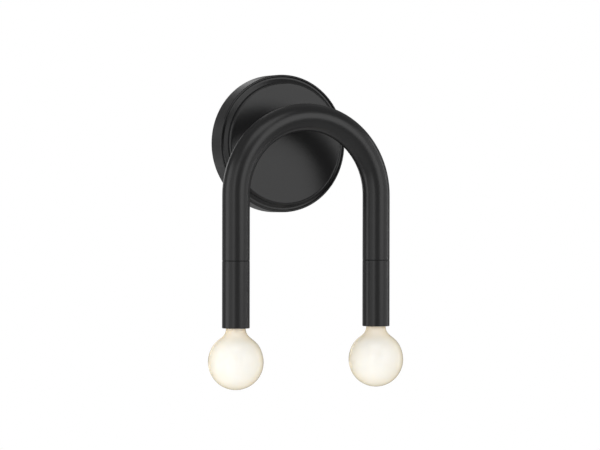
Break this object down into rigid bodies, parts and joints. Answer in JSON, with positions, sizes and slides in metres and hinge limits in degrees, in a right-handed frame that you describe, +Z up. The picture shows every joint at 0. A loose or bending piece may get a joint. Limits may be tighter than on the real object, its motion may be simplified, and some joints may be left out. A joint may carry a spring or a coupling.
{
  "type": "wall light",
  "caption": "Arched tube wall light: a bent black tube on a round stepped canopy, with a globe bulb hanging under each leg.",
  "frame": {"origin": "centre of the canopy's rear rim and of the strap's screw slots, in the plane of the wall", "axes": "+Z up, +Y into the wall, the light stands out from the wall towards -Y, +X to the right seen from the room"},
  "size_m": [0.195, 0.097, 0.2918],
  "materials": {
    "black_finish": "satin black powder coat",
    "zinc_steel": "zinc-plated",
    "black_screw": "black oxide",
    "connector_shell": "moulded, orange",
    "tinned_brass": "tinned",
    "lead_green": "green insulation",
    "lead_black": "black insulation",
    "lead_white": "white insulation",
    "earth_green": "green plated",
    "holder_moulding": "moulded, dark",
    "shell_brass": "drawn",
    "opal_glass": "opal white glass, glossy",
    "cap_nickel": "nickel-plated",
    "cap_insulator": "black glass",
    "tip_solder": "solder",
    "clear_glass": "clear",
    "filament_wire": "drawn wire"
  },
  "bodies": {
    "fixture": {"canopy": "black_finish", "wall_bracket": "zinc_steel", "canopy_screws": "black_screw", "arm": "black_finish", "arm_washer": "zinc_steel", "arm_nut": "zinc_steel", "arch_tube": "black_finish", "live_connector": "connector_shell", "neutral_connector": "connector_shell", "earth_tag": "tinned_brass", "earth_terminal": "tinned_brass", "earth_lead": "lead_green", "earth_screw": "earth_green", "left_leg_insert": "zinc_steel", "left_cup_nipple": "zinc_steel", "left_cup_nut": "zinc_steel", "left_socket_cup": "black_finish", "left_lampholder": "holder_moulding", "left_screw_shell": "shell_brass", "left_centre_contact": "shell_brass", "left_live_lead": "lead_black", "left_neutral_lead": "lead_white", "right_leg_insert": "zinc_steel", "right_cup_nipple": "zinc_steel", "right_cup_nut": "zinc_steel", "right_socket_cup": "black_finish", "right_lampholder": "holder_moulding", "right_screw_shell": "shell_brass", "right_centre_contact": "shell_brass", "right_live_lead": "lead_black", "right_neutral_lead": "lead_white"},
    "left_bulb": {"left_bulb_globe": "opal_glass", "left_bulb_cap": "cap_nickel", "left_bulb_insulator": "cap_insulator", "left_bulb_contact": "tip_solder", "left_bulb_stem": "clear_glass", "left_bulb_filament": "filament_wire"},
    "right_bulb": {"right_bulb_globe": "opal_glass", "right_bulb_cap": "cap_nickel", "right_bulb_insulator": "cap_insulator", "right_bulb_contact": "tip_solder", "right_bulb_stem": "clear_glass", "right_bulb_filament": "filament_wire"}
  },
  "joints": [
    {"name": "left_bulb_out", "type": "slide", "parent": "fixture", "child": "left_bulb", "axis": [0, 0, -1], "range_m": [0, 0.026]},
    {"name": "right_bulb_out", "type": "slide", "parent": "fixture", "child": "right_bulb", "axis": [0, 0, -1], "range_m": [0, 0.026]}
  ]
}
